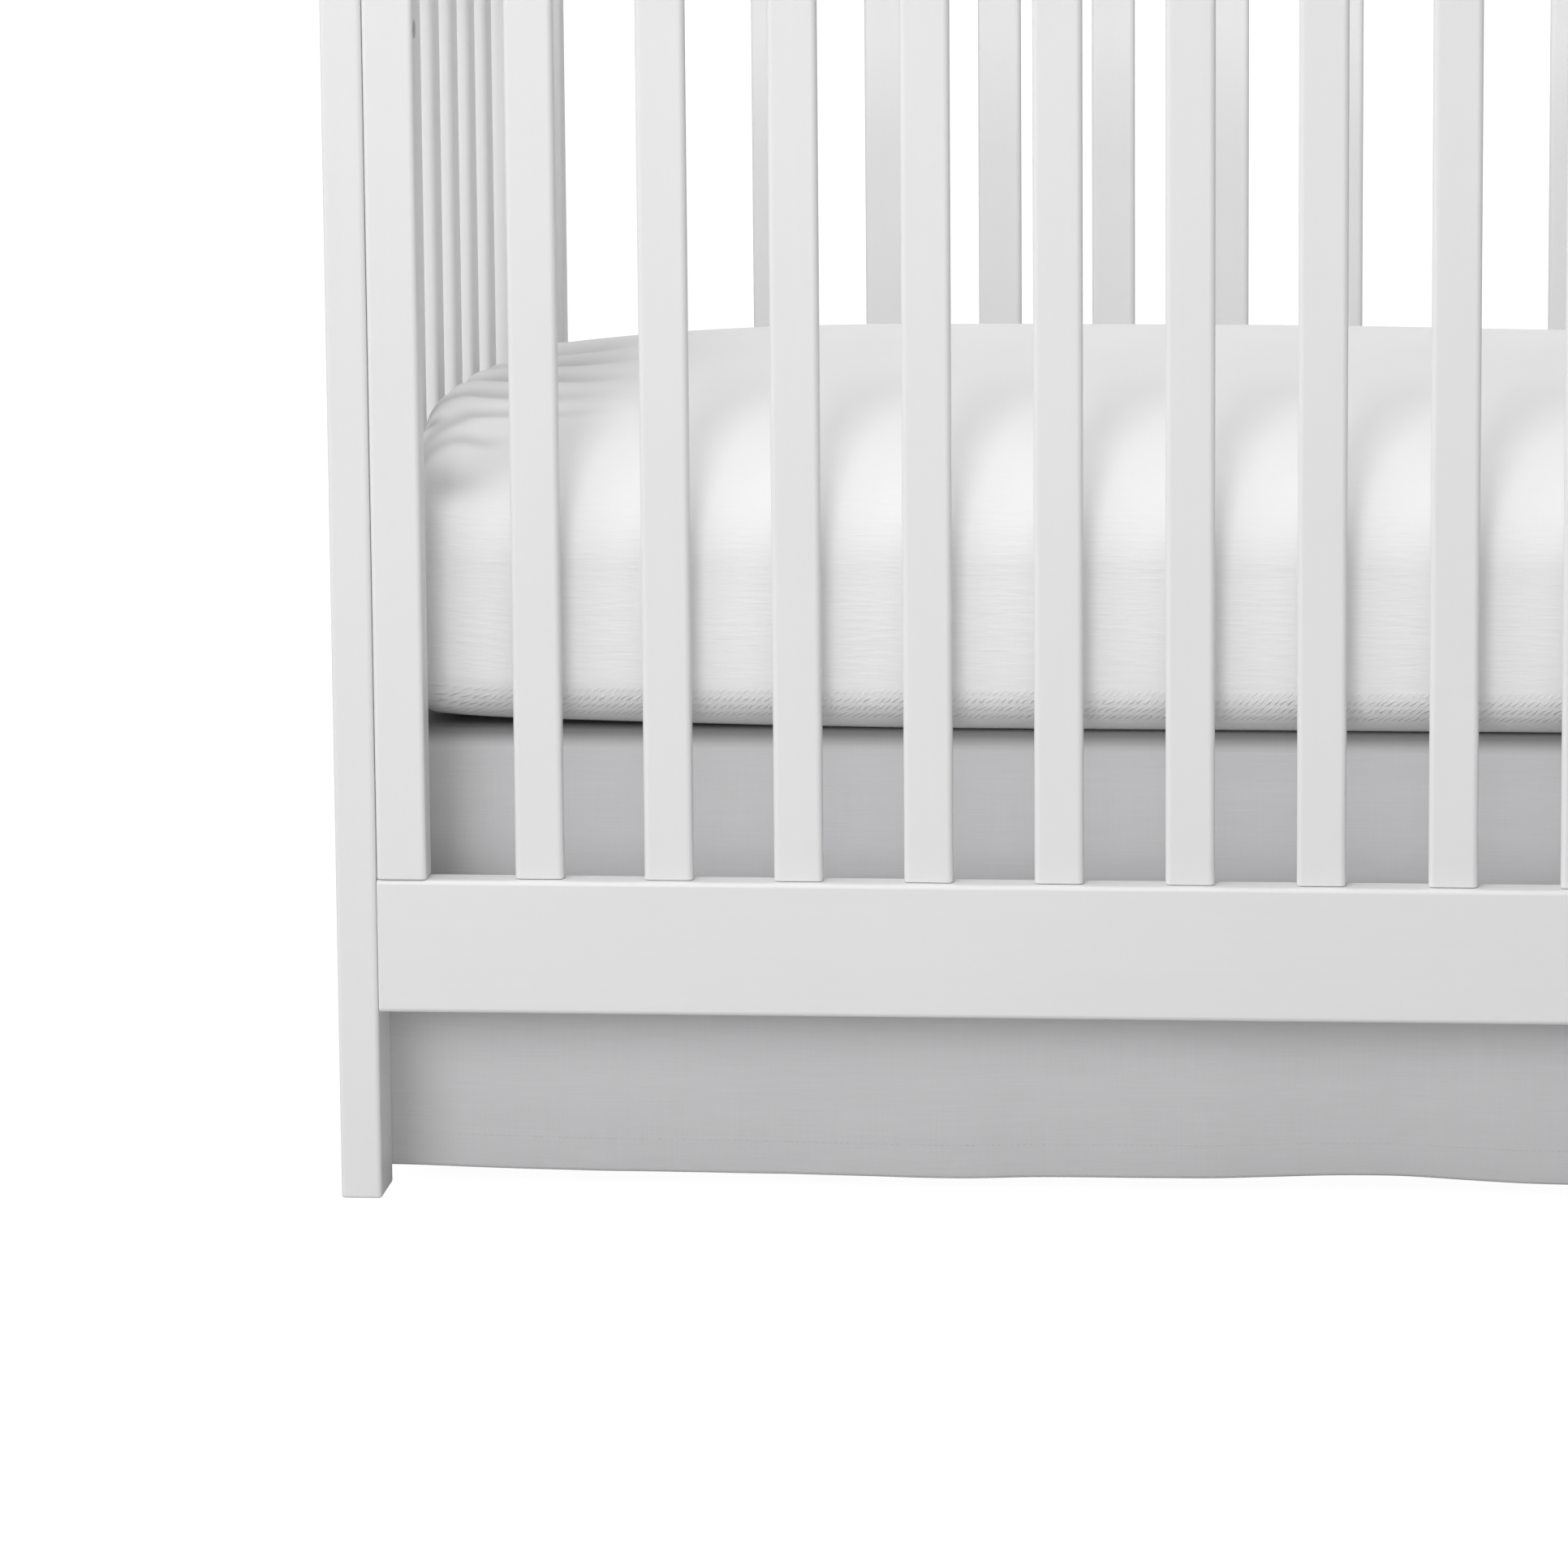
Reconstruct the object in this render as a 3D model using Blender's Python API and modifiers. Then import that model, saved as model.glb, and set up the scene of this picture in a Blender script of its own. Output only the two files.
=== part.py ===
"""Grey bed skirt hung under the mattress of a white slatted crib.

Metres, +Z up. The floor is Z = 0, the crib's middle is X = Y = 0, its long
side runs along X and its front faces -Y.

The skirt is a flat deck that lies on the mattress support, under the
mattress, and four panels sewn to the deck's edges. The corners are split, so
the brackets of the mattress support reach the posts between the panels.
"""
import bpy

for stale in list(bpy.data.objects):
    bpy.data.objects.remove(stale, do_unlink=True)

import math

import bmesh
import numpy as np

SEAT_GAP = 0.0003            # left between pieces that touch

# Crib: overall box and post section
CRIB_DEPTH = 0.767
POST_HEIGHT = 0.890
POST_WIDTH = 0.027           # along X
POST_DEPTH = 0.050           # along Y
INNER_LENGTH = 1.3262        # between the posts of one long side
ARRIS = 0.003                # rounding of the posts, rails and stiles

# Rails and stiles
RAIL_THICK = 0.025
BOTTOM_RAIL_Z = (0.126, 0.2148)
TOP_RAIL_Z = (0.815, 0.885)
END_RAIL_THICK = 0.020
RAIL_TENON = 0.010           # how far an end rail runs into its post
STILE_WIDTH = 0.0330
BOLT_HOLE_RADIUS = 0.0065
BOLT_HOLE_DEEP = 0.010
BOLT_HOLE_Z = 0.773
BOLT_HOLE_BACK = 0.010       # behind the stile's front face

# Slats
SLAT_WIDTH = 0.032
SLAT_THICK = 0.012
SLAT_ARRIS = 0.0035
SIDE_SLATS = 14
SIDE_PITCH = 0.0855
END_SLATS = 7
END_PITCH = 0.088

# Cloth of the skirt
CLOTH = 0.0015
HEM_THICK = 0.0026           # the folded hem
HEM_HEIGHT = 0.025
HEM_STEP = 0.001             # height over which the cloth thickens to the hem
HEM_FLOOR = 0.0086           # mean height of the hem over the floor
EDGE_CLEARANCE = 0.002       # between hanging cloth and a board's edge
SKIRT_INSET = 0.053          # front panel's face behind the posts' front
END_FACE_X = 0.658           # outer face of the end panels
FRONT_HALF = 0.6656           # half lengths of the panels
END_HALF = 0.3205
BILLOW = 0.004               # soft swelling above the hem, gone at a panel's ends
SWING_BEND = 1.6             # how a fold's swing grows down the sheet
BILLOW_LOW = 4               # how low the swelling sits
BILLOW_ENDS = 8              # how late it dies away towards the ends

# Mattress
MATTRESS_HALF = (0.657, 0.3505)
MATTRESS_FLOOR = 0.3085
MATTRESS_RIM = 0.417         # where the upright side starts to round over
MATTRESS_CROWN = 0.1045      # from the rim to the top
CROWN_POWER = 5.0            # roundness across the mattress
END_POWER = 50.0             # roundness at its two ends
CORNER_RADIUS = 0.080
BOTTOM_ROUND = 0.031
END_BOTTOM_ROUND = 0.020
END_DROP = 0.0170            # how far the top falls away at its two back corners
END_DROP_FROM = 0.30
END_DROP_TO = 0.625
END_DROP_BEND = 2.6          # how late along the length the fall sets in
DROP_FRONT = -0.24           # the fall starts behind this Y
DROP_DEPTH = 0.42            # and is whole this far behind it
END_CURL = 0.0064            # how far the underside lifts off the deck at its ends
END_CURL_FROM = 0.28
END_CURL_BEND = 1.6
MATTRESS_CELLS = 16          # cells along each edge of its cage

# Mattress support board and its corner brackets
BOARD_THICK = 0.012
BRACKET_THICK = 0.003
BRACKET_HEIGHT = 0.021
BRACKET_DROP = 0.001         # bracket's top under the board's top
BRACKET_LAP = 0.020          # arm's lap on the board's edge
BRACKET_REACH = 0.688
BRACKET_FOOT_X = 0.672

# Folds of each panel at its hem. A positive swing goes outwards.
# columns: place along, half width, swing, lift
FRONT_FOLDS = (
    (-0.665, 0.070, -0.0020, 0.0018),
    (-0.470, 0.060, 0.0012, 0.0000),
    (-0.330, 0.190, 0.0010, -0.0005),
    (-0.300, 0.055, 0.0040, -0.0010),
    (-0.150, 0.050, 0.0015, 0.0002),
    (-0.008, 0.064, -0.0060, 0.0021),
    (0.115, 0.060, 0.0030, -0.0008),
    (0.290, 0.080, -0.0035, 0.0012),
    (0.420, 0.060, 0.0040, -0.0010),
    (0.560, 0.060, -0.0030, 0.0010),
    (0.664, 0.050, -0.0020, 0.0008),
)
BACK_FOLDS = (
    (-0.570, 0.060, 0.0030, -0.0008),
    (-0.420, 0.080, -0.0040, 0.0015),
    (-0.190, 0.090, 0.0045, -0.0010),
    (0.060, 0.080, -0.0035, 0.0010),
    (0.280, 0.100, 0.0040, -0.0012),
    (0.520, 0.080, -0.0030, 0.0014),
    (0.665, 0.050, -0.0015, 0.0006),
)
LEFT_FOLDS = (
    (-0.250, 0.060, 0.0015, 0.0012),
    (-0.060, 0.070, -0.0030, 0.0010),
    (0.130, 0.065, 0.0015, -0.0010),
    (0.290, 0.050, -0.0020, 0.0012),
)
RIGHT_FOLDS = (
    (-0.280, 0.055, -0.0020, 0.0014),
    (-0.100, 0.070, 0.0015, -0.0008),
    (0.090, 0.065, -0.0030, 0.0012),
    (0.260, 0.060, 0.0015, 0.0004),
)

# Worked out from the sizes above
HALF_DEPTH = CRIB_DEPTH / 2
POST_IN = INNER_LENGTH / 2
POST_X = POST_IN + POST_WIDTH / 2
POST_Y = HALF_DEPTH - POST_DEPTH / 2
FRAME_HALF = POST_IN - SEAT_GAP
STILE_Z = (BOTTOM_RAIL_Z[1] + SEAT_GAP, TOP_RAIL_Z[0] - SEAT_GAP)
SLAT_LENGTH = STILE_Z[1] - STILE_Z[0]
SLAT_MIDDLE_Z = sum(STILE_Z) / 2
DECK_TOP = MATTRESS_FLOOR - SEAT_GAP
BOARD_TOP = DECK_TOP - CLOTH - SEAT_GAP
FRONT_FACE_Y = HALF_DEPTH - SKIRT_INSET
BOARD_HALF = (END_FACE_X - CLOTH - EDGE_CLEARANCE, FRONT_FACE_Y - CLOTH - EDGE_CLEARANCE)

crib_set = bpy.data.collections.new("bed_skirt_on_crib")
cutters = bpy.data.collections.new("cutters")
bpy.context.scene.collection.children.link(crib_set)
bpy.context.scene.collection.children.link(cutters)


def make_material(name, colour, roughness):
    """Principled material of one colour."""
    material = bpy.data.materials.new(name)
    material.use_nodes = True
    shader = material.node_tree.nodes["Principled BSDF"]
    shader.inputs["Base Color"].default_value = (*colour, 1.0)
    shader.inputs["Roughness"].default_value = roughness
    return material


PAINTED_WOOD = make_material("painted_wood", (0.80, 0.80, 0.80), 0.35)
BOARD_PAINT = make_material("support_board", (0.62, 0.60, 0.57), 0.60)
SHEETING = make_material("mattress_cover", (0.84, 0.84, 0.84), 0.90)
SKIRT_CLOTH = make_material("skirt_cloth", (0.46, 0.46, 0.47), 0.95)


def box_mesh(name, size):
    """Box of the given size about its own middle."""
    mesh = bpy.data.meshes.new(name)
    shape = bmesh.new()
    bmesh.ops.create_cube(shape, size=1.0)
    bmesh.ops.scale(shape, vec=size, verts=shape.verts)
    shape.to_mesh(mesh)
    shape.free()
    return mesh


def place(name, mesh, material, middle, collection=crib_set):
    """Object with a material, at its place."""
    piece = bpy.data.objects.new(name, mesh)
    piece.location = middle
    if not mesh.materials:
        mesh.materials.append(material)
    collection.objects.link(piece)
    return piece


def box_between(name, low, high, material, collection=crib_set):
    """Box given by its lowest and highest corners."""
    size = [b - a for a, b in zip(low, high)]
    middle = [(a + b) / 2 for a, b in zip(low, high)]
    return place(name, box_mesh(name, size), material, middle, collection)


def round_edges(piece, width):
    """Rounded arrises on every edge."""
    bevel = piece.modifiers.new("arris", "BEVEL")
    bevel.width = width
    bevel.segments = 2


def combine(target, tool, operation):
    """Boolean of the target with a tool, which moves to the cutters."""
    boolean = target.modifiers.new(tool.name, "BOOLEAN")
    boolean.operation = operation
    boolean.object = tool
    tool.hide_render = True
    tool.display_type = "WIRE"


def slat_mesh(name, width_x, width_y):
    """Slat with its four long edges rounded."""
    mesh = box_mesh(name, (width_x, width_y, SLAT_LENGTH))
    shape = bmesh.new()
    shape.from_mesh(mesh)
    uprights = [e for e in shape.edges if abs(e.verts[0].co.z - e.verts[1].co.z) > 0.1]
    bmesh.ops.bevel(shape, geom=uprights, offset=SLAT_ARRIS, segments=2,
                    profile=0.5, affect="EDGES")
    shape.to_mesh(mesh)
    shape.free()
    return mesh


def centred(count, pitch):
    """Places of evenly pitched pieces about the middle."""
    return [(i - (count - 1) / 2) * pitch for i in range(count)]


def build_end_frame(side, sign):
    """Two posts and two rails glued into one end frame."""
    front, back = (box_between(f"{side}_post_{n}",
                               (sign * POST_X - POST_WIDTH / 2, y - POST_DEPTH / 2, 0.0),
                               (sign * POST_X + POST_WIDTH / 2, y + POST_DEPTH / 2, POST_HEIGHT),
                               PAINTED_WOOD, collection)
                   for n, y, collection in (("a", -POST_Y, crib_set), ("b", POST_Y, cutters)))
    front.name = f"{side}_end_frame"
    round_edges(front, ARRIS)
    round_edges(back, ARRIS)
    combine(front, back, "UNION")
    reach = POST_Y - POST_DEPTH / 2 + RAIL_TENON
    for level, (low, high) in (("bottom", BOTTOM_RAIL_Z), ("top", TOP_RAIL_Z)):
        rail = box_between(f"{side}_{level}_rail",
                           (sign * POST_X - END_RAIL_THICK / 2, -reach, low),
                           (sign * POST_X + END_RAIL_THICK / 2, reach, high),
                           PAINTED_WOOD, cutters)
        round_edges(rail, ARRIS)
        combine(front, rail, "UNION")


def build_long_side(side, sign):
    """Two rails, two stiles and the slats of the front or the back."""
    face = sign * HALF_DEPTH
    inner = sign * (HALF_DEPTH - RAIL_THICK)
    low_y, high_y = sorted((face, inner))
    for level, (low, high) in (("bottom", BOTTOM_RAIL_Z), ("top", TOP_RAIL_Z)):
        rail = box_between(f"{side}_{level}_rail", (-FRAME_HALF, low_y, low),
                           (FRAME_HALF, high_y, high), PAINTED_WOOD)
        round_edges(rail, ARRIS)
    for end, x_sign in (("left", -1), ("right", 1)):
        low_x, high_x = sorted((x_sign * FRAME_HALF, x_sign * (FRAME_HALF - STILE_WIDTH)))
        stile = box_between(f"{side}_{end}_stile", (low_x, low_y, STILE_Z[0]),
                            (high_x, high_y, STILE_Z[1]), PAINTED_WOOD)
        round_edges(stile, ARRIS)
        if side == "front":
            cut_bolt_hole(stile, x_sign)
    middle_y = sign * (HALF_DEPTH - RAIL_THICK / 2)
    mesh = slat_mesh(f"{side}_slat", SLAT_WIDTH, SLAT_THICK)
    for number, x in enumerate(centred(SIDE_SLATS, SIDE_PITCH), 1):
        place(f"{side}_slat_{number:02d}", mesh, PAINTED_WOOD, (x, middle_y, SLAT_MIDDLE_Z))


def cut_bolt_hole(stile, x_sign):
    """Blind hole in the stile's inner side."""
    mesh = bpy.data.meshes.new(f"{stile.name}_hole")
    shape = bmesh.new()
    bmesh.ops.create_cone(shape, cap_ends=True, segments=16, radius1=BOLT_HOLE_RADIUS,
                          radius2=BOLT_HOLE_RADIUS, depth=2 * BOLT_HOLE_DEEP)
    shape.to_mesh(mesh)
    shape.free()
    mouth_x = x_sign * (FRAME_HALF - STILE_WIDTH)
    middle = (mouth_x, -HALF_DEPTH + BOLT_HOLE_BACK, BOLT_HOLE_Z)
    cutter = place(mesh.name, mesh, PAINTED_WOOD, middle, cutters)
    cutter.rotation_euler = (0.0, math.pi / 2, 0.0)
    combine(stile, cutter, "DIFFERENCE")


def build_end_slats(side, sign):
    """Slats between the two rails of an end frame."""
    mesh = slat_mesh(f"{side}_slat", SLAT_THICK, SLAT_WIDTH)
    for number, y in enumerate(centred(END_SLATS, END_PITCH), 1):
        place(f"{side}_slat_{number}", mesh, PAINTED_WOOD, (sign * POST_X, y, SLAT_MIDDLE_Z))


def rounded_fall(inset, span, power):
    """0 at the edge and 1 in the middle, upright at the edge."""
    away = np.clip(1.0 - inset / span, 0.0, 1.0)
    return np.sqrt(1.0 - away ** power)


def build_mattress():
    """Cube surface moved onto the mattress: flat under, upright sides, crowned top.

    The top falls away towards the back corners, and the underside curls up at the ends."""
    half_x, half_y = MATTRESS_HALF
    mesh = bpy.data.meshes.new("mattress")
    shape = bmesh.new()
    bmesh.ops.create_cube(shape, size=2.0)
    bmesh.ops.subdivide_edges(shape, edges=shape.edges, cuts=MATTRESS_CELLS - 1,
                              use_grid_fill=True)
    cage = np.array([v.co[:] for v in shape.verts])
    x = half_x * np.sin(cage[:, 0] * math.pi / 2)
    y = half_y * np.sin(cage[:, 1] * math.pi / 2)
    inset_x = half_x - np.abs(x)
    inset_y = half_y - np.abs(y)
    crown = rounded_fall(inset_x, half_y, END_POWER) * rounded_fall(inset_y, half_y, CROWN_POWER)
    under = rounded_fall(inset_x, END_BOTTOM_ROUND, 2.0) * rounded_fall(inset_y, BOTTOM_ROUND, 2.0)
    outer = np.clip((np.abs(x) - END_DROP_FROM) / (END_DROP_TO - END_DROP_FROM), 0.0, 1.0)
    behind = np.clip((y - DROP_FRONT) / DROP_DEPTH, 0.0, 1.0)
    drop = END_DROP * outer ** END_DROP_BEND * behind * behind * (3.0 - 2.0 * behind)
    curl = np.clip((np.abs(x) - END_CURL_FROM) / (END_DROP_TO - END_CURL_FROM), 0.0, 1.2)
    top_z = MATTRESS_RIM + (MATTRESS_CROWN - drop) * crown
    low_z = MATTRESS_FLOOR + BOTTOM_ROUND * (1.0 - under) + END_CURL * curl ** END_CURL_BEND
    level = (cage[:, 2] + 1.0) / 2
    z = low_z + (top_z - low_z) * level
    # round the four corners in plan
    corner_x = np.clip(1.0 - inset_x / CORNER_RADIUS, 0.0, 1.0)
    corner_y = np.clip(1.0 - inset_y / CORNER_RADIUS, 0.0, 1.0)
    x -= np.sign(x) * CORNER_RADIUS * corner_x * (1.0 - np.sqrt(1.0 - corner_y ** 2 / 2))
    y -= np.sign(y) * CORNER_RADIUS * corner_y * (1.0 - np.sqrt(1.0 - corner_x ** 2 / 2))
    for vert, place_now in zip(shape.verts, np.column_stack((x, y, z))):
        vert.co = place_now
    shape.to_mesh(mesh)
    shape.free()
    mesh.shade_smooth()
    place("mattress", mesh, SHEETING, (0.0, 0.0, 0.0))


def build_support():
    """Board under the deck, with an L bracket at each corner that seats behind a post."""
    half_x, half_y = BOARD_HALF
    board = box_between("mattress_support", (-half_x, -half_y, BOARD_TOP - BOARD_THICK),
                        (half_x, half_y, BOARD_TOP), BOARD_PAINT)
    top = BOARD_TOP - BRACKET_DROP
    low = top - BRACKET_HEIGHT
    arm_face = half_y - SEAT_GAP
    arm_back = arm_face - BRACKET_THICK
    foot_face = HALF_DEPTH - POST_DEPTH - SEAT_GAP
    for end, sx in (("left", -1), ("right", 1)):
        for side, sy in (("front", -1), ("back", 1)):
            spans = {
                "arm": ((half_x - BRACKET_LAP, BRACKET_REACH), (arm_back, arm_face)),
                "foot": ((BRACKET_FOOT_X, BRACKET_REACH - BRACKET_DROP),
                         (arm_back + BRACKET_DROP, foot_face)),
            }
            for part, (span_x, span_y) in spans.items():
                low_x, high_x = sorted(sx * v for v in span_x)
                low_y, high_y = sorted(sy * v for v in span_y)
                inset = 0.0 if part == "arm" else BRACKET_DROP
                tool = box_between(f"bracket_{part}_{side}_{end}", (low_x, low_y, low + inset),
                                   (high_x, high_y, top - inset), BOARD_PAINT, cutters)
                combine(board, tool, "UNION")


def hem_folds(along, folds):
    """Swing and lift at the hem: a sum of soft bumps, one for each fold."""
    swing = np.zeros_like(along)
    lift = np.zeros_like(along)
    for middle, half_width, fold_swing, fold_lift in folds:
        bump = np.exp(-((along - middle) / half_width) ** 2)
        swing += fold_swing * bump
        lift += fold_lift * bump
    return swing, lift


def build_panel(name, half_length, folds, middle, turn, columns, rows):
    """Open sheet facing -Y before it is turned, thickened inwards, with its folded hem."""
    mesh = bpy.data.meshes.new(name)
    shape = bmesh.new()
    bmesh.ops.create_grid(shape, x_segments=columns, y_segments=rows + 2, size=1.0)
    grid = np.array([v.co[:] for v in shape.verts])
    along = grid[:, 0] * half_length
    swing, lift = hem_folds(along, folds)
    hem_z = HEM_FLOOR + lift
    # heights down the sheet: even rows to the hem, its step, its top and its lower edge
    row = np.rint((1.0 - grid[:, 1]) / 2 * (rows + 2)).astype(int)
    fall = DECK_TOP - hem_z - HEM_HEIGHT
    z = DECK_TOP - fall * np.minimum(row, rows) / rows
    z = np.where(row == rows + 1, hem_z + HEM_HEIGHT - HEM_STEP, z)
    z = np.where(row == rows + 2, hem_z, z)
    down = (DECK_TOP - z) / (DECK_TOP - hem_z)
    billow = BILLOW * (1.0 - np.abs(grid[:, 0]) ** BILLOW_ENDS)
    out = swing * down ** SWING_BEND + billow * np.sin(math.pi * down ** BILLOW_LOW)
    for vert, place_now in zip(shape.verts, np.column_stack((along, -out, z))):
        vert.co = place_now
    bmesh.ops.recalc_face_normals(shape, faces=shape.faces)
    shape.faces.ensure_lookup_table()
    if shape.faces[0].normal.y > 0:
        bmesh.ops.reverse_faces(shape, faces=shape.faces)
    shape.to_mesh(mesh)
    shape.free()
    mesh.shade_smooth()
    panel = place(name, mesh, SKIRT_CLOTH, middle)
    panel.rotation_euler = (0.0, 0.0, turn)
    hem = panel.vertex_groups.new(name="hem")
    hem.add([int(i) for i in np.nonzero(row > rows)[0]], 1.0, "REPLACE")
    cloth = panel.modifiers.new("cloth", "SOLIDIFY")
    cloth.thickness = HEM_THICK
    cloth.offset = -1.0
    cloth.vertex_group = hem.name
    cloth.thickness_vertex_group = CLOTH / HEM_THICK


def build_skirt():
    """Deck and the four hanging panels."""
    edge_x = END_FACE_X - CLOTH - SEAT_GAP
    edge_y = FRONT_FACE_Y - CLOTH - SEAT_GAP
    box_between("skirt_deck", (-edge_x, -edge_y, DECK_TOP - CLOTH),
                (edge_x, edge_y, DECK_TOP), SKIRT_CLOTH)
    build_panel("skirt_front_panel", FRONT_HALF, FRONT_FOLDS, (0.0, -FRONT_FACE_Y, 0.0),
                0.0, columns=56, rows=8)
    build_panel("skirt_back_panel", FRONT_HALF, BACK_FOLDS, (0.0, FRONT_FACE_Y, 0.0),
                math.pi, columns=40, rows=7)
    build_panel("skirt_left_panel", END_HALF, LEFT_FOLDS, (-END_FACE_X, 0.0, 0.0),
                -math.pi / 2, columns=20, rows=7)
    build_panel("skirt_right_panel", END_HALF, RIGHT_FOLDS, (END_FACE_X, 0.0, 0.0),
                math.pi / 2, columns=20, rows=7)


for end_name, end_sign in (("left", -1), ("right", 1)):
    build_end_frame(end_name, end_sign)
    build_end_slats(end_name, end_sign)
for side_name, side_sign in (("front", -1), ("back", 1)):
    build_long_side(side_name, side_sign)
build_support()
build_skirt()
build_mattress()
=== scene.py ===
"""Looks of a grey bed skirt that hangs from under the mattress of a white slatted crib.

Painted wood, a white fitted sheet over the mattress and a plain-woven grey skirt.
Metres, +Z up, the crib's front faces -Y.
"""
import math

import bpy
import numpy as np
from mathutils import Matrix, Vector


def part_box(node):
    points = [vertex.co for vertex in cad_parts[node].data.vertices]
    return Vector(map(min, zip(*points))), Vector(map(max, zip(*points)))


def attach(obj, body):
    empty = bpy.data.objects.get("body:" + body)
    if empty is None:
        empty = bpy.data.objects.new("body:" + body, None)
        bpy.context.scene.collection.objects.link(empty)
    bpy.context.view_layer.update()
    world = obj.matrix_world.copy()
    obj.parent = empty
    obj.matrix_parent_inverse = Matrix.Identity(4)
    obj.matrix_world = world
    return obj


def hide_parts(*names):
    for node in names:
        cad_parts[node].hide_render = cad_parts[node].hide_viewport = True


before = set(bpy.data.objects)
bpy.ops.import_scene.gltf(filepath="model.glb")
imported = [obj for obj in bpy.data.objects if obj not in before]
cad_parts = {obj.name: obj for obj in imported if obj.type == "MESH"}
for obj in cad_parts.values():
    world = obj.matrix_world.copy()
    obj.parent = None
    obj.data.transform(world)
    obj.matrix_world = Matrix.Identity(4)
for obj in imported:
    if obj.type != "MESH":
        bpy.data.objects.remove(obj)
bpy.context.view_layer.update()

# ---------------------------------------------------------------- sizes
X, Y, Z = 0, 1, 2
GAP = 0.0003                 # between pieces that touch

# Wood: roundings, and the flat kept next to each rounding so that it shades cleanly
ARRIS = 0.0030
SLAT_ARRIS = 0.0035
END_ARRIS = 0.0008
POST_END_ARRIS = 0.0015
FLAT_EDGE = 0.0005
LEAST_ARRIS = 0.02           # share of a rounding that is left where it is drawn in
ARC_STEPS = 5
END_STEPS = 3
POST_DEPTH = 0.050
END_RAIL_THICK = 0.020
RAIL_LEVELS = {"bottom": (0.126, 0.2148), "top": (0.815, 0.885)}
TENON = 0.002                # end rails run this far into the posts
END_SLATS = 7
LONG_SLATS = 14
HOLE_RADIUS = 0.0065
HOLE_DEEP = 0.010
HOLE_Z = 0.773
HOLE_BACK = 0.010
HOLE_SIDES = 32
SHARP_FROM = 40.0            # degrees: edges over this angle stay sharp round the hole

# Skirt
CLOTH = 0.0015
HEM_THICK = 0.0026
HEM_HEIGHT = 0.025
HEM_STEP = 0.0012
SIDE_HEM = 0.012
HEM_FLOOR = 0.0086
THICK_FROM = 0.9             # the hem is at full thickness from this share of its step
ROUND_OFF = 1e-6
SIDE_HEM_STEPS = 4
PANEL_ROWS = (84, 4, 12)     # points above the hem's fold, over it and down the hem
DECK_TOP = 0.3082
FRONT_FACE_Y = 0.3305
END_FACE_X = 0.658
FRONT_HALF = 0.6656
END_HALF = 0.3205
BILLOW = 0.004
BILLOW_LOW = 4               # powers: how low the billow sits and how late it fades towards a panel's ends
BILLOW_ENDS = 8
SWING_BEND = 1.6             # powers of the way down: how the swing and the ripples grow
RIPPLE_BEND = 1.2
RIPPLE_ENDS = 6
RIPPLE_DRIFT = 0.04
RIPPLES = ((0.210, 0.0006), (0.127, 0.0005), (0.083, 0.0003), (0.051, 0.00015))   # length, height
HEM_PUCKER = 0.00018         # puckers along the hem's top: height, pitch and reach
HEM_PUCKER_PITCH = 0.017
HEM_PUCKER_REACH = 0.008
TUCK_SHADOW_HEIGHT = 0.014            # painted shadow of the mattress: the cloth darkens over this height where it tucks under the mattress
TUCK_PAINTED_SHADOW = 0.70
END_SHARE_OF_TUCK_SHADOW = 0.4               # share of the painted shadow at the bed's ends
DECK_POINTS = (66, 34)
STITCH_PITCH = 0.0042
STITCH_LENGTH = 0.0027
STITCH_RADIUS = 0.00022
STITCH_DOWN = 0.0022         # under the hem's top
STITCH_RISE = 0.4            # share of its radius that its middle stands out of the cloth
STITCH_SIDES = 6
# Thread of a stitch: place along its length, share of the radius
STITCH_SHAPE = ((-0.5, 0.15), (-0.38, 0.8), (0.0, 1.0), (0.38, 0.8), (0.5, 0.15))

# Mattress
MATTRESS_CELLS = (170, 230, 14)    # along x, along y and down the side
MATTRESS_HALF = (0.657, 0.3505)
MATTRESS_FLOOR = 0.3085
MATTRESS_RIM = 0.417
MATTRESS_CROWN = 0.1045
CROWN_POWER = 5.0
END_POWER = 50.0
CORNER_RADIUS = 0.080
BOTTOM_ROUND = 0.031
END_BOTTOM_ROUND = 0.020
LOW_EDGE_PAINTED_SHADE = (0.333, 0.018, 0.20)   # painted shade along the lower edge: below this z, over this height, up to this much
SIDE_BULGE = 0.0015
END_DROP = 0.0170            # how far the top falls away at its two back corners
END_DROP_FROM = 0.30
END_DROP_TO = 0.625
END_DROP_BEND = 2.6
END_DROP_FRONT = -0.24       # it sets in at this y and is full this far behind it
END_DROP_DEPTH = 0.42
MIDDLE_SAG = 0.0038
SAG_X = 0.16
SAG_WIDTH = 0.16
END_CURL = 0.0064            # how far the underside lifts off the deck at its ends
END_CURL_FROM = 0.28
END_CURL_MOST = 1.2
END_CURL_BEND = 1.6
END_PRESS = 0.0016           # the ends swell between the end slats
END_PRESS_X = (0.60, 0.05)   # the swell sets in from this |x| and z, over this length
END_PRESS_Z = (0.40, 0.08)
END_SLAT_PITCH = 0.088

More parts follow.
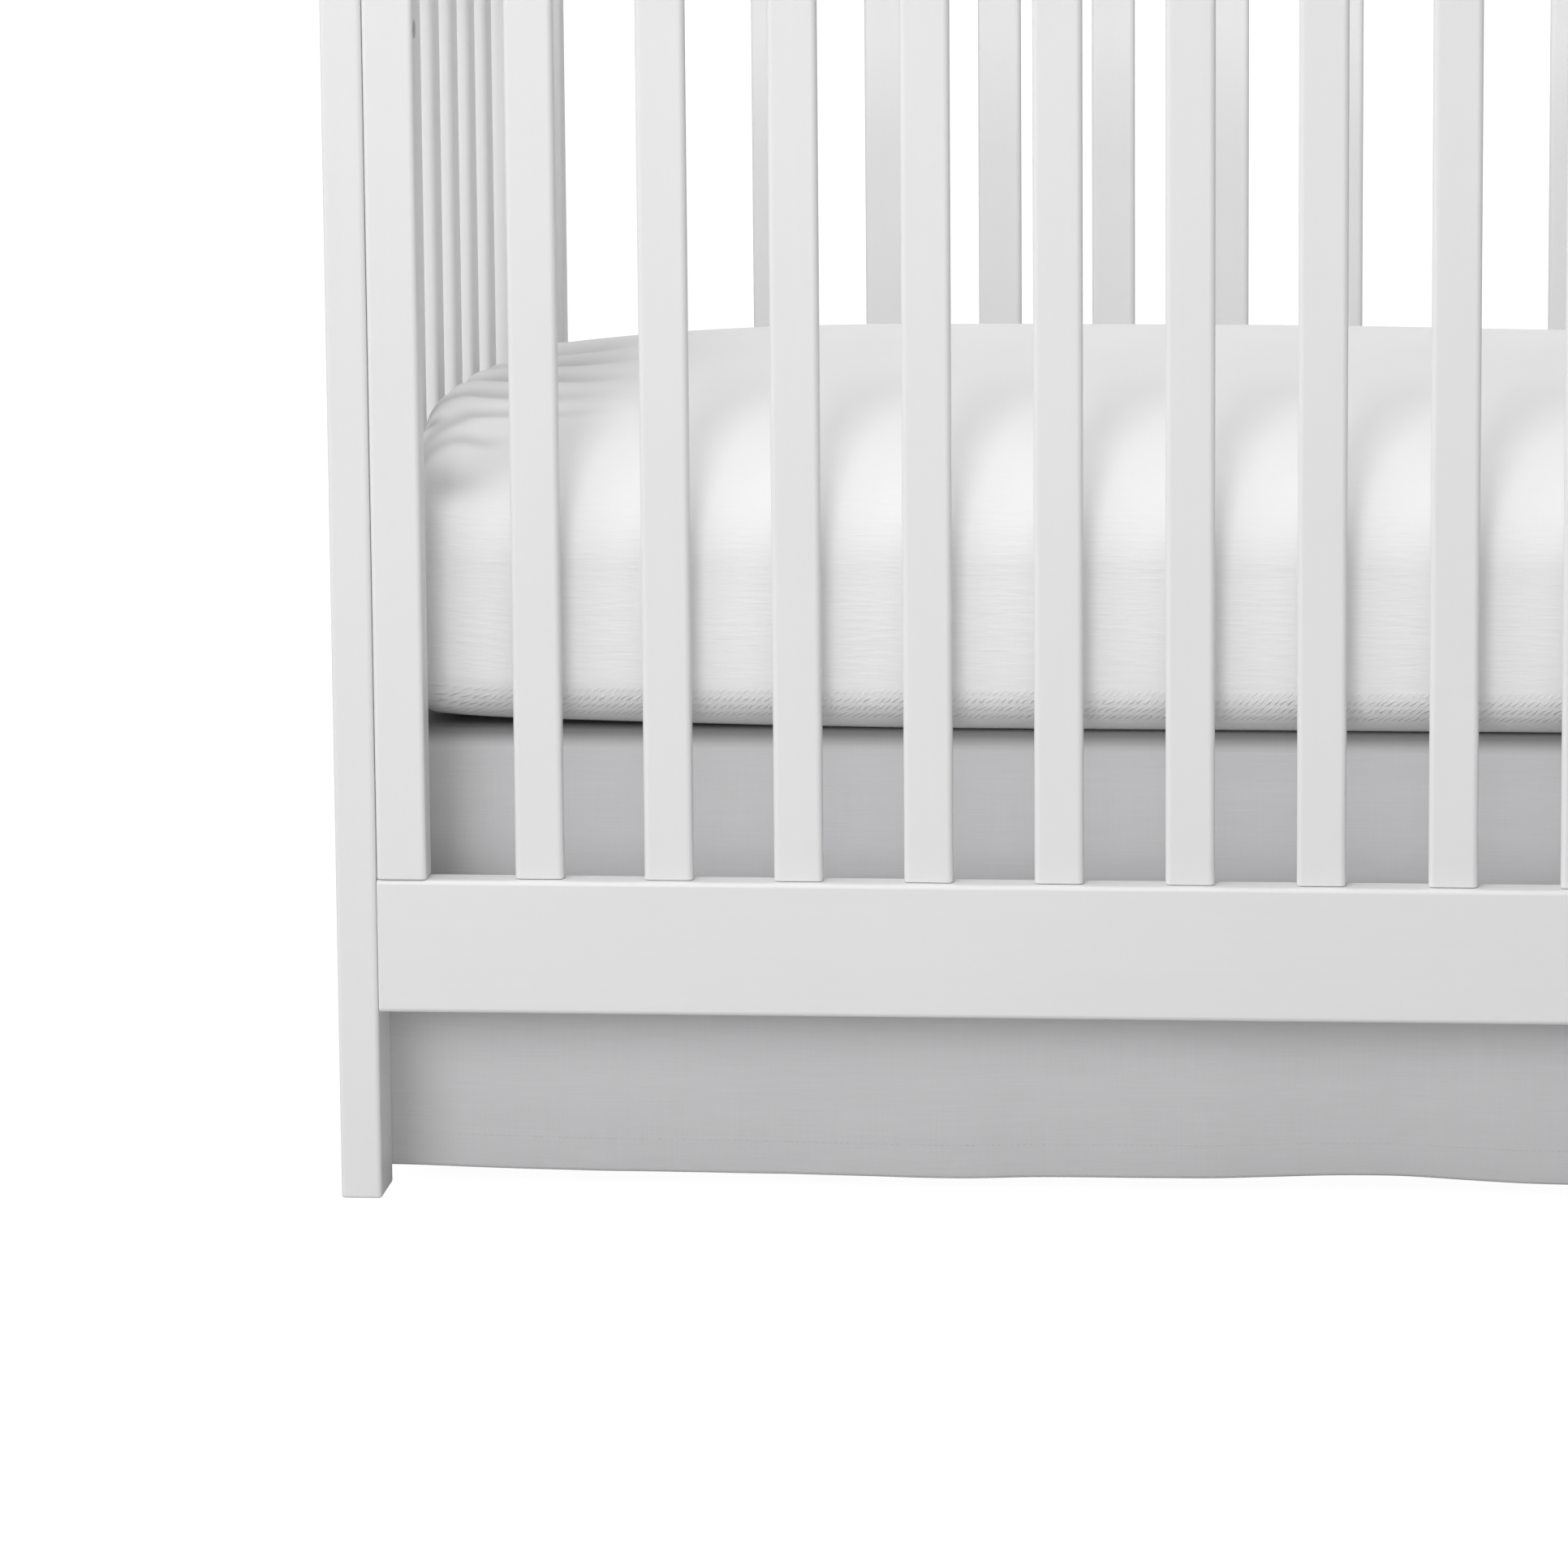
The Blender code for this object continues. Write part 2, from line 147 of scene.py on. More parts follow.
# Folds of each panel at its hem. A positive swing goes outwards.
# columns: place along, half width, swing, lift
FRONT_FOLDS = (
    (-0.665, 0.070, -0.0020, 0.0018),
    (-0.470, 0.060, 0.0012, 0.0000),
    (-0.330, 0.190, 0.0010, -0.0005),
    (-0.300, 0.055, 0.0040, -0.0010),
    (-0.150, 0.050, 0.0015, 0.0002),
    (-0.008, 0.064, -0.0060, 0.0021),
    (0.115, 0.060, 0.0030, -0.0008),
    (0.290, 0.080, -0.0035, 0.0012),
    (0.420, 0.060, 0.0040, -0.0010),
    (0.560, 0.060, -0.0030, 0.0010),
    (0.664, 0.050, -0.0020, 0.0008),
)
BACK_FOLDS = (
    (-0.570, 0.060, 0.0030, -0.0008),
    (-0.420, 0.080, -0.0040, 0.0015),
    (-0.190, 0.090, 0.0045, -0.0010),
    (0.060, 0.080, -0.0035, 0.0010),
    (0.280, 0.100, 0.0040, -0.0012),
    (0.520, 0.080, -0.0030, 0.0014),
    (0.665, 0.050, -0.0015, 0.0006),
)
LEFT_FOLDS = (
    (-0.250, 0.060, 0.0015, 0.0012),
    (-0.060, 0.070, -0.0030, 0.0010),
    (0.130, 0.065, 0.0015, -0.0010),
    (0.290, 0.050, -0.0020, 0.0012),
)
RIGHT_FOLDS = (
    (-0.280, 0.055, -0.0020, 0.0014),
    (-0.100, 0.070, 0.0015, -0.0008),
    (0.090, 0.065, -0.0030, 0.0012),
    (0.260, 0.060, 0.0015, 0.0004),
)

# Creases of the sheet over the mattress's left end: half width, depth, painted shade, then the line in
# plan
LEFT_CREASES = (
    (0.046, 0.0055, 0.20, (
        (-0.664, 0.150), (-0.610, 0.128), (-0.570, 0.122), (-0.520, 0.126))),
    (0.036, 0.0050, 0.21, (
        (-0.664, -0.012), (-0.620, 0.010), (-0.571, -0.007), (-0.505, -0.006))),
    (0.026, 0.0044, 0.23, (
        (-0.664, -0.134), (-0.624, -0.116), (-0.588, -0.132), (-0.552, -0.142), (-0.495, -0.132))),
    (0.0145, 0.0030, 0.23, (
        (-0.664, -0.256), (-0.644, -0.224), (-0.626, -0.205), (-0.599, -0.212), (-0.562, -0.221),
        (-0.505, -0.206))),
    (0.0085, 0.0024, 0.23, (
        (-0.660, -0.306), (-0.642, -0.290), (-0.629, -0.274), (-0.614, -0.258), (-0.592, -0.257),
        (-0.555, -0.260), (-0.500, -0.250))),
    (0.0062, 0.0022, 0.20, (
        (-0.650, -0.309), (-0.638, -0.301), (-0.622, -0.293), (-0.612, -0.293), (-0.597, -0.298),
        (-0.570, -0.296))),
)
# The right end's creases: another draw of the same waves
RIGHT_CREASES = (
    (0.044, 0.0055, 0.20, (
        (0.664, 0.160), (0.612, 0.146), (0.560, 0.130), (0.515, 0.132))),
    (0.036, 0.0050, 0.21, (
        (0.664, 0.016), (0.618, 0.022), (0.566, 0.008), (0.500, 0.012))),
    (0.026, 0.0044, 0.23, (
        (0.664, -0.110), (0.622, -0.102), (0.580, -0.120), (0.530, -0.126))),
    (0.0150, 0.0030, 0.23, (
        (0.664, -0.236), (0.640, -0.206), (0.604, -0.196), (0.556, -0.206), (0.520, -0.198))),
    (0.0090, 0.0024, 0.21, (
        (0.660, -0.300), (0.638, -0.276), (0.612, -0.252), (0.576, -0.250), (0.530, -0.244))),
)
VALLEY_PAINTED_SHADE = 1.30          # painted shade in the valleys of the creases and painted light on the crests beside them
CREST_PAINTED_LIGHT = 0.45
CREST_SPREAD = 0.25          # power that widens the creases' bells to their crests, for the painted light
CREASE_UNDER_RIM = 0.010     # creases start this far under the rim and are full over this height
CREASE_RISE = 0.050
CREASE_FADE = (0.45, 0.55)   # they fade from this share of their length, over this share
# Dimples of the sheet with painted shade in them, and patches of painted shade without depth: x, y, z,
# length along x, radius, depth, painted shade
DIMPLES_AND_SHADE_PATCHES = (
    (-0.575, -0.030, 0.510, 0.070, 0.260, 0.0000, 0.28),
    (0.575, -0.030, 0.510, 0.070, 0.260, 0.0000, 0.28),
    (-0.590, -0.315, 0.492, 0.032, 0.030, 0.0000, 0.15),
    (-0.626, -0.326, 0.472, 0.026, 0.014, 0.0040, 0.29),
    (-0.652, -0.318, 0.436, 0.016, 0.016, 0.0030, 0.03),
    (0.632, -0.328, 0.468, 0.018, 0.013, 0.0040, 0.16),
    (-0.640, 0.326, 0.470, 0.020, 0.015, 0.0040, 0.10),
    (0.642, 0.328, 0.474, 0.020, 0.014, 0.0040, 0.10),
)
# Where an end slat meets the mattress's top, a small pinch with painted shade: x, z, radius, depth,
# painted shade
PINCH_WITH_SHADE = (0.641, 0.505, 0.008, 0.0015, 0.40)

# Weave, and the puckers at the sheet's lower edge
SKIRT_THREAD = 0.00055
SHEET_THREAD = 0.0007
BUMP_PITCH = 0.0047
BUMP_ROW = 0.0056
BUMP_ZONE = (0.3180, 0.3405)
BUMP_SLANT = -0.6
BUMP_UNEVEN = 0.006
BUMP_FADES = (0.010, 0.002)  # at the zone's top and at its foot

# Colours, linear
WOOD_WHITE = (0.82, 0.82, 0.82)
SKIRT_GREY = (0.665, 0.665, 0.676)
SHEET_WHITE = (0.874, 0.874, 0.874)
BOARD_TAN = (0.60, 0.50, 0.38)
BRACKET_FROM = 0.6555        # the support's end brackets start beyond this |x|

# Stage
FLOOR_HALF = 30.0
FLOOR_GREY = 0.60
FLOOR_GLOW = 1.08
FLOOR_NEAR = 0.8             # the seen floor turns fully white in the metre beyond this distance
FLOOR_LIFT = 0.90
WORLD_LIGHT = 0.274          # the surround's strength as a light; it is seen at full strength
LIGHT_AIM = (0.0, 0.0, 0.35)
# Lights: name, azimuth, elevation, distance, size, power
SKIRT_BOXES = (
    ("skirt_side", -32, 20, 4.5, 2.4, 50),
    ("skirt_low", -20, 8, 4.5, 2.4, 10),
    ("skirt_right", 20, 15, 4.5, 2.4, 23),
)
SHEET_BOXES = (
    ("sheet_high", -32, 50, 4.5, 2.4, 36),
    ("sheet_key", -14, 25, 4.5, 1.2, 41),
    ("sheet_right", 18, 22, 4.5, 6.0, 28),
    ("sheet_wide", -20, 52, 4.5, 6.0, 12),
)
OPEN_BOXES = (
    ("sheet_open", -32, 50, 4.5, 2.4, 17),
)
WOOD_BOXES = (
    ("wood_key", -14, 25, 4.5, 1.1, 67),
    ("wood_high", -32, 50, 4.5, 2.4, 36),
    ("wood_left", -75, 18, 4.5, 1.2, 24),
)
END_BOXES = (
    ("end_front", -12, 20, 4.5, 2.4, 42),
)
REAR_BOXES = (
    ("rear_wood", 180, 18, 4.5, 1.6, 42),
)
RIGHT_BOXES = (
    ("right_wood", 90, 18, 4.5, 1.6, 46),
)
ROUND_BOXES = (
    ("overhead", -32, 78, 3.5, 3.0, 32),
    ("back_right", 150, 30, 4.5, 3.0, 36),
    ("back_left", -145, 30, 4.5, 3.0, 26),
)

CAMERA_PLACE = (0.035, -4.758, 1.072)
CAMERA_TURN = (-4.91, -8.89, -0.40)
CAMERA_LENS = 157.0
CAMERA_SENSOR = 36.0
CAMERA_SHIFT = (-0.05, -0.10)


# ---------------------------------------------------------------- nodes
def new_material(name, roughness):
    """Empty node material with one Principled shader, returned with its tree."""
    material = bpy.data.materials.new(name)
    material.use_nodes = True
    tree = material.node_tree
    shader = tree.nodes["Principled BSDF"]
    shader.inputs["Roughness"].default_value = roughness
    return material, tree, shader


def math_node(tree, operation, first, second=0.0, clamp=False):
    """Math node whose inputs are sockets or numbers."""
    node = tree.nodes.new("ShaderNodeMath")
    node.operation = operation
    node.use_clamp = clamp
    for socket, value in zip(node.inputs, (first, second)):
        if isinstance(value, (int, float)):
            socket.default_value = value
        else:
            tree.links.new(value, socket)
    return node.outputs[0]


def scaled(tree, vector, factors):
    """Vector multiplied along each axis."""
    node = tree.nodes.new("ShaderNodeMapping")
    tree.links.new(vector, node.inputs["Vector"])
    node.inputs["Scale"].default_value = factors
    return node.outputs["Vector"]


def noise(tree, vector, factors, detail=2.0):
    """Noise about 0.5 on a stretched vector."""
    node = tree.nodes.new("ShaderNodeTexNoise")
    tree.links.new(scaled(tree, vector, factors), node.inputs["Vector"])
    node.inputs["Scale"].default_value = 1.0
    node.inputs["Detail"].default_value = detail
    return node.outputs["Fac"]


def split(tree, vector):
    """The three coordinates of a vector."""
    node = tree.nodes.new("ShaderNodeSeparateXYZ")
    tree.links.new(vector, node.inputs[0])
    return node.outputs


def around(tree, value, spread):
    """Noise about 0.5 turned into a factor about 1, up to half the spread to each side."""
    return math_node(tree, "ADD", math_node(tree, "MULTIPLY", value, spread), 1.0 - spread / 2)


def product(tree, values):
    """All the values multiplied."""
    total = values[0]
    for value in values[1:]:
        total = math_node(tree, "MULTIPLY", total, value)
    return total


def paint(tree, shader, colour, factor):
    """Base colour, brighter or darker by a factor."""
    node = tree.nodes.new("ShaderNodeMix")
    node.data_type = "RGBA"
    node.blend_type = "MULTIPLY"
    node.inputs["Factor"].default_value = 1.0
    node.inputs["A"].default_value = (*colour, 1.0)
    tree.links.new(factor, node.inputs["B"])
    tree.links.new(node.outputs["Result"], shader.inputs["Base Color"])


def emboss(tree, shader, layers):
    """Bump layers, each a height socket, a strength and a distance, one over the other."""
    last = None
    for height, strength, distance in layers:
        bump = tree.nodes.new("ShaderNodeBump")
        bump.inputs["Strength"].default_value = strength
        bump.inputs["Distance"].default_value = distance
        tree.links.new(height, bump.inputs["Height"])
        if last:
            tree.links.new(last, bump.inputs["Normal"])
        last = bump.outputs["Normal"]
    tree.links.new(last, shader.inputs["Normal"])


def painted(tree, name):
    """Value of a vertex attribute."""
    node = tree.nodes.new("ShaderNodeAttribute")
    node.attribute_name = name
    return node.outputs["Fac"]


def soften(shader, sheen):
    """Cotton's surface: a soft sheen and little gloss."""
    shader.inputs["Sheen Weight"].default_value = sheen
    shader.inputs["Sheen Roughness"].default_value = 0.5
    shader.inputs["Specular IOR Level"].default_value = 0.2


def plain_weave(tree, across, along, pitch):
    """Height of a plain weave: each thread is a rounded ridge, over and under in turn."""
    step = math.pi / pitch
    warp = math_node(tree, "SINE", math_node(tree, "MULTIPLY", across, step))
    weft = math_node(tree, "SINE", math_node(tree, "MULTIPLY", along, step))
    over = math_node(tree, "MULTIPLY", warp, weft)
    over = math_node(tree, "ADD", math_node(tree, "MULTIPLY", over, 2.0), 0.5, clamp=True)
    warp_ridge = math_node(tree, "ABSOLUTE", warp)
    weft_ridge = math_node(tree, "ABSOLUTE", weft)
    difference = math_node(tree, "SUBTRACT", warp_ridge, weft_ridge)
    return math_node(tree, "ADD", weft_ridge, math_node(tree, "MULTIPLY", difference, over))


def painted_wood(name, grain_scale):
    """Satin white paint: soft tone changes, a trace of the grain under it and fine roller texture."""
    material, tree, shader = new_material(name, 0.42)
    place = tree.nodes.new("ShaderNodeTexCoord").outputs["Object"]
    cloud = noise(tree, place, (5.0, 5.0, 5.0), 3.0)
    grain = noise(tree, place, grain_scale, 4.0)
    factor = product(tree, [around(tree, cloud, 0.035), around(tree, grain, 0.020)])
    paint(tree, shader, WOOD_WHITE, factor)
    skin = noise(tree, place, (900.0, 900.0, 900.0), 2.0)
    emboss(tree, shader, [(grain, 0.10, 0.0004), (skin, 0.06, 0.0002)])
    rough = math_node(tree, "ADD", math_node(tree, "MULTIPLY", cloud, 0.10), 0.36)
    tree.links.new(rough, shader.inputs["Roughness"])
    shader.inputs["Specular IOR Level"].default_value = 0.35
    return material


def skirt_cloth():
    """Grey plain-woven cotton: fine weave, long pale and dark slubs along it and faint ones down it, with
    painted shadow where it goes under the mattress.
    """
    material, tree, shader = new_material("grey_plain_weave", 0.92)
    uv = tree.nodes.new("ShaderNodeUVMap").outputs["UV"]
    across, down, _ = split(tree, uv)
    weave = plain_weave(tree, across, down, SKIRT_THREAD)
    slub_along = noise(tree, uv, (22.0, 900.0, 1.0), 3.0)
    slub_down = noise(tree, uv, (1100.0, 18.0, 1.0), 2.0)
    band = noise(tree, uv, (3.0, 60.0, 1.0), 3.0)
    cloud = noise(tree, uv, (7.0, 9.0, 1.0), 3.0)
    # Painted shadow of the mattress's edge, read from a vertex attribute
    painted_shade_factor = math_node(tree, "SUBTRACT", 1.0, painted(tree, "painted_tuck_shadow"), clamp=True)
    factor = product(tree, [around(tree, slub_along, 0.10), around(tree, slub_down, 0.05),
                            around(tree, band, 0.06), around(tree, cloud, 0.05),
                            around(tree, weave, 0.10), painted_shade_factor])
    paint(tree, shader, SKIRT_GREY, factor)
    emboss(tree, shader, [(cloud, 0.15, 0.004), (slub_along, 0.22, 0.00025), (weave, 0.35, 0.00018)])
    soften(shader, 0.12)
    return material


def sheet_cotton():
    """White cotton sheet: fine weave, faint ribs round the sides and puckers at its lower edge, its colour
    darkened by painted shade and lightened by painted light from a vertex attribute.
    """
    material, tree, shader = new_material("white_cotton_sheet", 0.88)
    place = tree.nodes.new("ShaderNodeTexCoord").outputs["Object"]
    x, y, z = split(tree, place)
    facing = split(tree, tree.nodes.new("ShaderNodeNewGeometry").outputs["Normal"])[2]
    side = math_node(tree, "SUBTRACT", 1.0, math_node(tree, "ABSOLUTE", facing), clamp=True)
    round_way = math_node(tree, "ADD", x, y)
    weave_top = plain_weave(tree, x, y, SHEET_THREAD)
    weave_side = plain_weave(tree, round_way, z, SHEET_THREAD)
    mixed = math_node(tree, "SUBTRACT", weave_side, weave_top)
    weave = math_node(tree, "ADD", weave_top, math_node(tree, "MULTIPLY", mixed, side))
    rib_noise = noise(tree, place, (40.0, 40.0, 330.0), 3.0)
    ribs = math_node(tree, "MULTIPLY", rib_noise, side)
    cloud = noise(tree, place, (6.0, 6.0, 9.0), 3.0)
    uneven = noise(tree, place, (110.0, 110.0, 150.0), 2.0)
    slanted = math_node(tree, "ADD", round_way, math_node(tree, "MULTIPLY", z, BUMP_SLANT))
    slanted = math_node(tree, "ADD", slanted, math_node(tree, "MULTIPLY", uneven, BUMP_UNEVEN))
    turns = math_node(tree, "MULTIPLY", slanted, 2 * math.pi / BUMP_PITCH)
    bumps = math_node(tree, "SINE", turns, clamp=True)
    below = math_node(tree, "SUBTRACT", BUMP_ZONE[1], z)
    above = math_node(tree, "SUBTRACT", z, BUMP_ZONE[0])
    rows = math_node(tree, "SINE", math_node(tree, "MULTIPLY", above, math.pi / BUMP_ROW))
    rows = math_node(tree, "MULTIPLY", rows, rows)
    under_top = math_node(tree, "DIVIDE", below, BUMP_FADES[0], clamp=True)
    over_edge = math_node(tree, "DIVIDE", above, BUMP_FADES[1], clamp=True)
    pucker = product(tree, [bumps, rows, uneven, under_top, over_edge])
    # Painted shade from creases, dimples, pinches, patches and the lower edge, and painted light on the
    # creases' crests
    painted_shade_factor = math_node(tree, "SUBTRACT", 1.0, painted(tree, "painted_shade"))
    factor = product(tree, [around(tree, cloud, 0.02), around(tree, ribs, 0.04),
                            around(tree, weave, 0.03), painted_shade_factor])
    paint(tree, shader, SHEET_WHITE, factor)
    emboss(tree, shader, [(cloud, 0.10, 0.004), (ribs, 0.55, 0.0008), (pucker, 0.70, 0.0024),
                          (weave, 0.25, 0.0002)])
    soften(shader, 0.10)
    return material


def plywood_board():
    """Pale plywood: long grain and darker pores; its end brackets are painted white."""
    material, tree, shader = new_material("pale_plywood", 0.6)
    place = tree.nodes.new("ShaderNodeTexCoord").outputs["Object"]
    grain = noise(tree, place, (3.0, 90.0, 260.0), 5.0)
    pores = noise(tree, place, (30.0, 900.0, 900.0), 2.0)
    factor = product(tree, [around(tree, grain, 0.28), around(tree, pores, 0.10)])
    paint(tree, shader, BOARD_TAN, factor)
    from_middle = math_node(tree, "ABSOLUTE", split(tree, place)[0])
    bracket = math_node(tree, "GREATER_THAN", from_middle, BRACKET_FROM)
    mix = tree.nodes.new("ShaderNodeMix")
    mix.data_type = "RGBA"
    tree.links.new(bracket, mix.inputs["Factor"])
    tree.links.new(shader.inputs["Base Color"].links[0].from_socket, mix.inputs["A"])
    mix.inputs["B"].default_value = (*WOOD_WHITE, 1.0)
    tree.links.new(mix.outputs["Result"], shader.inputs["Base Color"])
    emboss(tree, shader, [(grain, 0.15, 0.0004), (pores, 0.10, 0.0002)])
    return material


UPRIGHT_WOOD = painted_wood("white_paint_upright", (160.0, 160.0, 5.0))
LENGTH_WOOD = painted_wood("white_paint_lengthwise", (5.0, 160.0, 160.0))
CROSS_WOOD = painted_wood("white_paint_crosswise", (160.0, 5.0, 160.0))
SKIRT = skirt_cloth()
SHEET = sheet_cotton()
BOARD = plywood_board()


# ---------------------------------------------------------------- mesh helpers
def add_values(mesh, name, values):
    """One number for each point of a mesh, for its material to read."""
    layer = mesh.attributes.new(name, "FLOAT", "POINT")
    layer.data.foreach_set("value", np.asarray(values, np.float32).ravel())


def add_piece(name, points, faces, material, uv=None):
    """Mesh object at the origin that rides on the bed, shaded smooth. uv is one pair for each point."""
    mesh = bpy.data.meshes.new(name)
    mesh.from_pydata(np.asarray(points).tolist(), [], [tuple(f) for f in faces])
    if uv is not None:
        corners = np.empty(len(mesh.loops), dtype=np.int32)
        mesh.loops.foreach_get("vertex_index", corners)
        layer = mesh.uv_layers.new(name="cloth")
        layer.data.foreach_set("uv", np.asarray(uv)[corners].astype(np.float32).ravel())
    mesh.materials.append(material)
    mesh.shade_smooth()
    mesh.validate()
    piece = bpy.data.objects.new(name, mesh)
    bpy.context.scene.collection.objects.link(piece)
    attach(piece, "root")
    return piece


def grid_faces(rows, columns, closed=False):
    """Quads between rows of points, wound so that they face out when the columns run to the right."""
    cells = columns if closed else columns - 1
    r, c = np.meshgrid(np.arange(rows - 1), np.arange(cells), indexing="ij")
    after = (c + 1) % columns
    quads = np.stack((r * columns + c, (r + 1) * columns + c,
                      (r + 1) * columns + after, r * columns + after), axis=-1)
    return quads.reshape(-1, 4).tolist()


# ---------------------------------------------------------------- wood
def section(half_u, half_v, radius, inset):
    """Rounded rectangle: four quarter circles with a point on the flat beside each end of an arc.

    Drawn in by the inset, which takes the same amount off the radius."""
    turn = np.linspace(0.0, math.pi / 2, ARC_STEPS + 1)
    r = max(radius - inset, LEAST_ARRIS * radius)
    u = half_u - inset - r
    v = half_v - inset - r
    parts = []
    for quarter, (su, sv) in enumerate(((1, 1), (-1, 1), (-1, -1), (1, -1))):
        angle = turn + quarter * math.pi / 2
        arc = np.column_stack((su * u + r * np.cos(angle), sv * v + r * np.sin(angle)))
        start = arc[0] - FLAT_EDGE * np.array([-math.sin(angle[0]), math.cos(angle[0])])
        end = arc[-1] + FLAT_EDGE * np.array([-math.sin(angle[-1]), math.cos(angle[-1])])
        parts.append(np.vstack((start, arc, end)))
    return np.vstack(parts)


def bar(name, low, high, along, radius, material, end_radius=END_ARRIS):
    """Board: a rounded-rectangle section carried along one axis, its two ends rounded over.

    At each end the station moves by e(1 - cos t) while the section is drawn in by e(1 - sin t)."""
    low, high = np.array(low, float), np.array(high, float)
    middle, half = (low + high) / 2, (high - low) / 2
    u_axis, v_axis = ((Y, Z), (Z, X), (X, Y))[along]
    turn = np.linspace(0.0, math.pi / 2, END_STEPS + 1)
    moves = end_radius * (1.0 - np.cos(turn))
    insets = end_radius * (1.0 - np.sin(turn))
    moves = np.concatenate(([0.0], moves, [end_radius + FLAT_EDGE]))
    insets = np.concatenate(([end_radius + FLAT_EDGE], insets, [0.0]))
    stations = np.concatenate((-half[along] + moves, half[along] - moves[::-1]))
    insets = np.concatenate((insets, insets[::-1]))
    rings = []
    for station, inset in zip(stations, insets):
        flat = section(half[u_axis], half[v_axis], radius, inset)
        ring = np.empty((len(flat), 3))
        ring[:, u_axis], ring[:, v_axis], ring[:, along] = flat[:, 0], flat[:, 1], station
        rings.append(ring)
    count = len(rings[0])
    points = np.vstack(rings) + middle
    faces = [face[::-1] for face in grid_faces(len(rings), count, closed=True)]
    faces.append(list(range(count))[::-1])
    faces.append(list(range((len(rings) - 1) * count, len(rings) * count)))
    return add_piece(name, points, faces, material)


def bar_for(node, along, radius, material):
    """Finely rounded board in the place of a CAD node."""
    low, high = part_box(node)
    piece = bar(f"{node}_wood", low, high, along, radius, material)
    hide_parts(node)
    return piece


def drill(piece, x, y, z, radius, depth):
    """Blind round hole along X, cut into the piece's mesh."""
    sides = HOLE_SIDES
    turn = np.linspace(0.0, 2 * math.pi, sides + 1)[:-1]
    ring = np.column_stack((np.zeros(sides), y + radius * np.cos(turn), z + radius * np.sin(turn)))
    points = np.vstack((ring + (x - depth, 0, 0), ring + (x + depth, 0, 0)))
    faces = [[i, (i + 1) % sides, sides + (i + 1) % sides, sides + i] for i in range(sides)]
    faces += [list(range(sides))[::-1], list(range(sides, 2 * sides))]
    mesh = bpy.data.meshes.new("hole")
    mesh.from_pydata(points.tolist(), [], faces)
    cutter = bpy.data.objects.new("hole", mesh)
    bpy.context.scene.collection.objects.link(cutter)
    cut = piece.modifiers.new("hole", "BOOLEAN")
    cut.operation = "DIFFERENCE"
    cut.object = cutter
    seen = piece.evaluated_get(bpy.context.evaluated_depsgraph_get())
    made = bpy.data.meshes.new_from_object(seen)
    piece.modifiers.clear()
    piece.data = made
    made.shade_smooth()
    made.set_sharp_from_angle(angle=math.radians(SHARP_FROM))
    bpy.data.objects.remove(cutter)


def build_end(side):
    """Two posts and two rails of one end, and its slats."""
    low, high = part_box(f"{side}_end_frame")
    middle_x = (low[0] + high[0]) / 2
    posts = (("front", low[1], low[1] + POST_DEPTH), ("back", high[1] - POST_DEPTH, high[1]))
    whole = []
    for place, y_low, y_high in posts:
        whole.append(bar(f"{side}_{place}_post", (low[0], y_low, low[2]), (high[0], y_high, high[2]),
                         Z, ARRIS, UPRIGHT_WOOD, end_radius=POST_END_ARRIS))
    reach = high[1] - POST_DEPTH + TENON
    for level, (z_low, z_high) in RAIL_LEVELS.items():
        whole.append(bar(f"{side}_{level}_end_rail", (middle_x - END_RAIL_THICK / 2, -reach, z_low),
                         (middle_x + END_RAIL_THICK / 2, reach, z_high), Y, ARRIS, CROSS_WOOD))
    for piece in whole:
        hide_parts(f"{side}_end_frame")
    for number in range(1, END_SLATS + 1):
        bar_for(f"{side}_slat_{number}", Z, SLAT_ARRIS, UPRIGHT_WOOD)


def build_long_side(side):
    """Rails, stiles and slats of the front or the back."""
    for level in RAIL_LEVELS:
        bar_for(f"{side}_{level}_rail", X, ARRIS, LENGTH_WOOD)
    for end in ("left", "right"):
        stile = bar_for(f"{side}_{end}_stile", Z, ARRIS, UPRIGHT_WOOD)
        if side == "front":
            low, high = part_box(f"{side}_{end}_stile")
            inner_x = high[0] if end == "left" else low[0]
            drill(stile, inner_x, low[1] + HOLE_BACK, HOLE_Z, HOLE_RADIUS, HOLE_DEEP)
    for number in range(1, LONG_SLATS + 1):
        bar_for(f"{side}_slat_{number:02d}", Z, SLAT_ARRIS, UPRIGHT_WOOD)


# ---------------------------------------------------------------- skirt
def hem_folds(along, folds):
    """Swing and lift at the hem: a sum of bell curves, one for each fold."""
    swing = np.zeros_like(along)
    lift = np.zeros_like(along)
    for middle, half_width, fold_swing, fold_lift in folds:
        bump = np.exp(-((along - middle) / half_width) ** 2)
        swing += fold_swing * bump
        lift += fold_lift * bump
    return swing, lift


def ripples(along, down, seed):
    """Small slack ripples that grow towards the hem: a sum of sines of unlike lengths.

    Each sine takes two random draws, its phase and how far it slants."""
    draw = np.random.default_rng(seed)
    total = np.zeros_like(along)
    for length, height in RIPPLES:
        phase, drift = draw.uniform(0, 2 * math.pi), draw.uniform(-RIPPLE_DRIFT, RIPPLE_DRIFT)
        total += height * np.sin(2 * math.pi * (along + drift * down) / length + phase)
    return total * down ** RIPPLE_BEND


